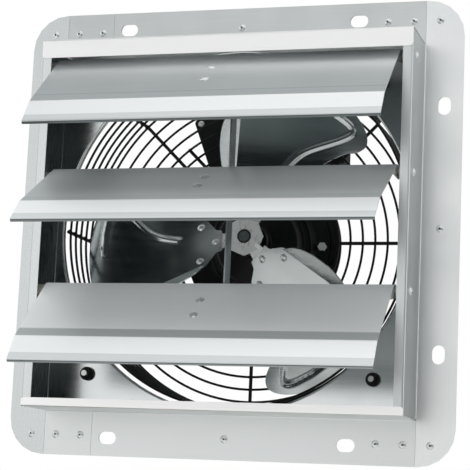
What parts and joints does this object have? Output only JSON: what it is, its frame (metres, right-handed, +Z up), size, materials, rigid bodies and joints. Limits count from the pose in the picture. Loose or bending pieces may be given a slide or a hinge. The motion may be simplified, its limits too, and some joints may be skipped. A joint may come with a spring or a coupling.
{
  "type": "wall exhaust fan with gravity shutter",
  "caption": "Square sheet-metal wall exhaust fan: a flanged box with gravity louvres on a tie bar in front, a bladed fan wheel on a motor behind, inside a round wire guard.",
  "frame": {"origin": "on the fan axis, in the plane of the front face of the mounting flange, at the centre of the pattern of horizontal slots", "axes": "+Y along the fan axis from the shutter towards the motor, +Z up, +X to the right as seen from the shutter side"},
  "size_m": [0.4, 0.2806, 0.402],
  "materials": {
    "frame_sheet": "satin rolled sheet",
    "panel_sheet": "satin rolled sheet",
    "zinc_rivet": "plain formed head",
    "nylon": "moulded, plain",
    "louvre_aluminium": "satin, brushed along its length",
    "linkage_steel": "zinc plated",
    "link_pin_steel": "zinc plated",
    "guard_wire": "black powder coat",
    "bolt_steel": "zinc plated",
    "well_nut_rubber": "moulded, matte",
    "motor_paint": "black enamel, semi-gloss",
    "lamination_steel": "stacked laminations",
    "winding_varnish": "varnished copper wire",
    "bearing_steel": "ground",
    "black_plastic": "moulded, fine texture",
    "block_plastic": "moulded",
    "shaft_steel": "turned and ground",
    "boss_steel": "blackened",
    "spider_zinc": "zinc plated, pressed",
    "blade_aluminium": "pressed sheet, mill finish"
  },
  "bodies": {
    "frame": {"left_frame": "frame_sheet", "right_frame": "frame_sheet", "top_frame": "frame_sheet", "bottom_frame": "frame_sheet", "corner_plates": "frame_sheet", "back_panel": "panel_sheet", "flange_rivets": "zinc_rivet", "pivot_pins": "zinc_rivet", "pivot_spacers": "nylon", "guard_side": "guard_wire", "guard_face": "guard_wire", "guard_legs": "guard_wire", "guard_bolts": "bolt_steel", "well_nuts": "well_nut_rubber", "motor_wires": "guard_wire", "motor_bracket": "motor_paint", "motor_front_shield": "motor_paint", "motor_shell": "motor_paint", "motor_rear_shield": "motor_paint", "motor_studs": "bolt_steel", "motor_nuts": "bolt_steel", "stator_core": "lamination_steel", "stator_windings": "winding_varnish", "front_bearing": "bearing_steel", "rear_bearing": "bearing_steel", "terminal_box": "black_plastic", "terminal_cover": "black_plastic", "cover_screws": "bolt_steel", "terminal_block": "block_plastic", "cable_gland": "black_plastic", "capacitor": "black_plastic"},
    "rotor": {"shaft": "shaft_steel", "rotor_core": "lamination_steel", "hub_boss": "boss_steel", "hub_spider": "spider_zinc", "upper_blade": "blade_aluminium", "left_blade": "blade_aluminium", "lower_blade": "blade_aluminium", "blade_rivets": "zinc_rivet"},
    "louvre_top": {"top_louvre": "louvre_aluminium", "top_bracket": "linkage_steel", "top_bracket_rivets": "zinc_rivet", "top_link_pin": "link_pin_steel"},
    "louvre_middle": {"middle_louvre": "louvre_aluminium", "middle_bracket": "linkage_steel", "middle_bracket_rivets": "zinc_rivet", "middle_link_pin": "link_pin_steel"},
    "louvre_bottom": {"bottom_louvre": "louvre_aluminium", "bottom_bracket": "linkage_steel", "bottom_bracket_rivets": "zinc_rivet", "bottom_link_pin": "link_pin_steel"},
    "tie_bar": {"tie_bar": "linkage_steel"}
  },
  "joints": [
    {"name": "rotor_spin", "type": "hinge", "parent": "frame", "child": "rotor", "pos_m": [0, 0.0346, 0], "axis": [0, 1, 0], "continuous": true},
    {"name": "louvre_top_hinge", "type": "hinge", "parent": "frame", "child": "louvre_top", "pos_m": [0, -0.0404, 0.14097], "axis": [1, 0, 0], "range_deg": [-10, 37]},
    {"name": "louvre_middle_hinge", "type": "hinge", "parent": "frame", "child": "louvre_middle", "pos_m": [0, -0.0404, 0.041], "axis": [1, 0, 0], "range_deg": [-13.01, 47.6]},
    {"name": "louvre_bottom_hinge", "type": "hinge", "parent": "frame", "child": "louvre_bottom", "pos_m": [0, -0.0404, -0.05898], "axis": [1, 0, 0], "range_deg": [-9.96, 36.3]},
    {"name": "tie_bar_pivot", "type": "hinge", "parent": "louvre_top", "child": "tie_bar", "pos_m": [0, -0.0305, 0.13603], "axis": [1, 0, 0], "range_deg": [-37, 10]}
  ],
  "couplings": [
    {"joint": "louvre_middle_hinge", "follows": "louvre_top_hinge", "ratio": 1.2811},
    {"joint": "louvre_bottom_hinge", "follows": "louvre_top_hinge", "ratio": 0.9757},
    {"joint": "tie_bar_pivot", "follows": "louvre_top_hinge", "ratio": -1}
  ]
}
